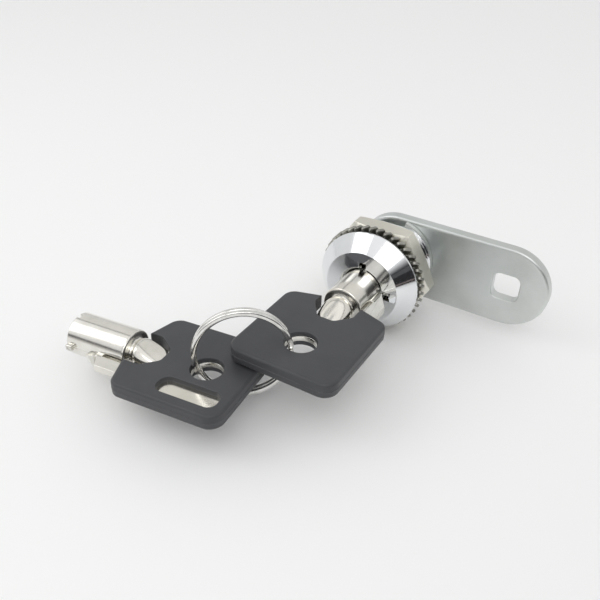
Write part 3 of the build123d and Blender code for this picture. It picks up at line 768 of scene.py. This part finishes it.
def make_bow(name):
    bow = bow_blank(name, BOW_OUTLINE, 1.65, 0.62, 0.55)
    boolean(bow, flared_cutter("ring_hole", circle(3.2, 112, (-17.6, 0)), -1.65, 1.65, 0.30, 0.30, 5))
    root = soft([(3, -4.7), (3, 4.55), (-5.2, 4.55), (-8.3, 1.8), (-8.3, -1.8), (-4.3, -4.6)], [0, 0, 1.6, 1.3, 1.3, 1.8], 8)
    boolean(bow, flared_cutter("root", root, -1.65, 1.65, 0.25, 0.25, 5))
    window = soft([(-24.2, 4.9), (-11.6, 4.9), (-11.6, 9.1), (-24.2, 9.1)], 1.7, 8)
    boolean(bow, flared_cutter("window", window, 0.53, 1.65, 0, 0.25, 5))
    boolean(bow, block("gap", (-7.8, 4.0, -0.82), (3.0, 7.92, 0.82)))
    return bow


def key_matrix(origin, ex, ez):
    ex, ez = Vector(ex).normalized(), Vector(ez)
    ez = (ez - ex * ez.dot(ex)).normalized()
    ey = ez.cross(ex)
    return Matrix(((ex.x, ey.x, ez.x, origin[0]), (ex.y, ey.y, ez.y, origin[1]), (ex.z, ey.z, ez.z, origin[2]), (0, 0, 0, 1)))


KEY = key_matrix((0.0, -11.29, 0.0), (0, 1, 0), (0, 0, -1))
SPARE = key_matrix((-30.5, -42.6465, -4.3632), (-0.99549, -0.09264, -0.02063), (-0.02055, -0.00191, 0.99979))
for prefix, body_name, where in (("key", "key", KEY), ("spare_key", "spare_key", SPARE)):
    finish_piece(make_key_metal(prefix + "_blade"), body_name, prefix + "_tube", M_KEY, angle=34, placement=where)
    finish_piece(make_bow(prefix + "_grip"), body_name, prefix + "_bow", M_BOW, angle=34, placement=where)


# ---------------------------------------------------------------- split ring
def make_ring():
    radius, radial, axial = 9.125, 1.08, 0.93
    step = 0.485
    section = []
    m = 20
    for k in range(m):
        a = PI2 * k / m
        c, s = math.cos(a), math.sin(a)
        f = 1.0 / (abs(c) ** 3.4 + abs(s) ** 3.4) ** (1 / 3.4)
        section.append((radial / 2 * c * f, axial / 2 * s * f))
    start, gap = 2.9, 0.20
    rings = []
    count = 520
    total = 2 * PI2 - 2 * gap
    for k in range(count + 1):
        t = gap + total * k / count
        # one smooth sidestep where the first turn passes to the second
        w = min(1.0, max(0.0, (t - (PI2 - gap * 0.92)) / (2 * gap * 0.92)))
        h = -step + 2 * step * (w * w * (3 - 2 * w))
        a = start + t
        end = min(k, count - k)
        f = 1.0 if end > 3 else (0.55, 0.80, 0.93, 0.985)[end]
        rings.append([((radius + u * f) * math.cos(a), (radius + u * f) * math.sin(a), h + v * f) for u, v in section])
    return orient(new_object("split_ring_wire", *stitch(rings)))


ring_n = Vector((-0.6014, 0.7974, -0.0501)).normalized()
ring_x = Vector((0, 0, 1)).cross(ring_n).normalized()
ring_y = ring_n.cross(ring_x)
RING = Matrix(((ring_x.x, ring_y.x, ring_n.x, -8.318), (ring_x.y, ring_y.y, ring_n.y, -36.098),
               (ring_x.z, ring_y.z, ring_n.z, 0.095), (0, 0, 0, 1)))
finish_piece(make_ring(), "ring", "split_ring", M_RING, angle=40, placement=RING, weighted=False)

# ------------------------------------------------ CAD nodes that stay as they are
cad_materials = {"rotor": M_BRASS, "pin_sleeve": M_BRASS, "stop_washer": M_ZINC_CAD, "sleeve_pin": M_HARD,
                 "driver_pins": M_HARD, "driver_springs": M_SPRING}
for i in range(1, 8):
    cad_materials["key_pin_%d" % i] = M_HARD
for name, mat in cad_materials.items():
    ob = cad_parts[name]
    for s in ob.material_slots:
        s.material = mat
    if not ob.material_slots:
        ob.data.materials.append(mat)

# ----------------------------------------------------- floor and studio light
lo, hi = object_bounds()
FLOOR_Z = -0.01292
floor = new_object("floor", [(-1.5, -1.5, FLOOR_Z), (1.5, -1.5, FLOOR_Z), (1.5, 1.5, FLOOR_Z), (-1.5, 1.5, FLOOR_Z)], [(0, 1, 2, 3)])
fm = Nodes("floor_white")
fm.set(Roughness=0.75)
fm.bsdf.inputs["Base Color"].default_value = (0.93, 0.93, 0.93, 1)
floor.data.materials.append(fm.mat)

world = bpy.data.worlds.new("studio")
scene.world = world
world.use_nodes = True
wn = world.node_tree
bg = wn.nodes["Background"]
tc = wn.nodes.new("ShaderNodeTexCoord")
sep = wn.nodes.new("ShaderNodeSeparateXYZ")
wn.links.new(tc.outputs["Generated"], sep.inputs[0])


def world_ramp(fac, stops):
    node = wn.nodes.new("ShaderNodeValToRGB")
    while len(node.color_ramp.elements) < len(stops):
        node.color_ramp.elements.new(0.5)
    for e, (pos, c) in zip(node.color_ramp.elements, stops):
        e.position = pos
        e.color = (*c, 1)
    wn.links.new(fac, node.inputs["Fac"])
    return node.outputs["Color"]


# a tent: white overhead toward the front, paler grey at the back, a seam between
# them, a dark gap round the front horizon and a dark opening toward the camera
def dot_with(v):
    node = wn.nodes.new("ShaderNodeVectorMath")
    node.operation = "DOT_PRODUCT"
    wn.links.new(tc.outputs["Generated"], node.inputs[0])
    node.inputs[1].default_value = v
    return node.outputs["Value"]


def world_mix(fac, a, b):
    node = wn.nodes.new("ShaderNodeMix")
    node.data_type = "RGBA"
    for sock, v in ((node.inputs[0], fac), (node.inputs[6], a), (node.inputs[7], b)):
        if isinstance(v, bpy.types.NodeSocket):
            wn.links.new(v, sock)
        else:
            sock.default_value = (*v, 1)
    return node.outputs[2]


BLACK, WHITE = (0, 0, 0), (1, 1, 1)
tilt = dot_with((0.0, -0.956, 0.292))       # positive toward the front
front = world_ramp(tilt, [(0.0, BLACK), (0.03, WHITE)])
back_sky = world_ramp(sep.outputs["Z"], [(0.0, (0.58, 0.58, 0.58)), (0.15, (0.70, 0.70, 0.70)), (1.0, (0.84, 0.84, 0.82))])
front_sky = world_ramp(sep.outputs["Z"], [(0.0, (0.55, 0.54, 0.52)), (0.10, (0.50, 0.49, 0.48)), (0.14, (0.07, 0.07, 0.075)), (0.22, (0.09, 0.09, 0.095)), (0.30, (0.85, 0.85, 0.85)), (1.0, (1.0, 1.0, 1.0))])
sky = world_mix(front, back_sky, front_sky)
seam = world_ramp(dot_with((0.0, 0.956, -0.292)), [(0.0, BLACK), (0.01, WHITE), (0.065, WHITE), (0.08, BLACK)])
sky = world_mix(seam, sky, (0.20, 0.20, 0.205))
west = dot_with((-1.0, 0.0, 0.0))
left = world_ramp(west, [(0.70, BLACK), (0.85, WHITE)])
sky = world_mix(left, sky, (0.78, 0.785, 0.78))
streak = world_ramp(west, [(0.365, BLACK), (0.38, WHITE), (0.43, WHITE), (0.445, BLACK)])
sky = world_mix(streak, sky, (0.34, 0.35, 0.36))
opening = world_ramp(dot_with((0.80, -0.55, 0.10)), [(0.86, BLACK), (0.94, WHITE)])
sky = world_mix(opening, sky, (0.045, 0.047, 0.05))
wn.links.new(sky, bg.inputs["Color"])
bg.inputs["Strength"].default_value = 1.02


def area(name, at, target, size, power, color=(1, 1, 1)):
    d = bpy.data.lights.new(name, "AREA")
    d.shape = "RECTANGLE"
    d.size, d.size_y = size
    d.energy = power
    d.color = color
    o = bpy.data.objects.new(name, d)
    scene.collection.objects.link(o)
    o.location = at
    o.rotation_mode = "QUATERNION"
    o.rotation_quaternion = (Vector(target) - Vector(at)).to_track_quat("-Z", "Y")
    return o


T = (0.0, -0.015, 0.0)
area("front_softbox", (0.22, -0.40, 0.50), T, (0.42, 0.30), 0.62)
area("left_softbox", (-0.27, -0.20, 0.28), (-0.035, -0.045, 0.0), (0.20, 0.30), 0.20)


# dark cards out of view, for the plated parts to reflect
def card(name, a, b, z0, z1, tone):
    ob = new_object(name, [(a[0], a[1], z0), (b[0], b[1], z0), (b[0], b[1], z1), (a[0], a[1], z1)], [(0, 1, 2, 3)])
    n = Nodes(name)
    n.set(Roughness=0.85)
    n.bsdf.inputs["Base Color"].default_value = (*tone, 1)
    ob.data.materials.append(n.mat)
    return ob


A, B = (0.115, -0.15), (0.185, -0.03)
card("card_foot", A, B, -0.0128, -0.0035, (0.060, 0.050, 0.046))
card("card_stripe", A, B, -0.0035, 0.0015, (0.30, 0.25, 0.245))
card("card_body", A, B, 0.0015, 0.045, (0.016, 0.016, 0.018))
card("card_head", A, B, 0.045, 0.068, (0.085, 0.088, 0.092))

scene.view_settings.view_transform = "Standard"
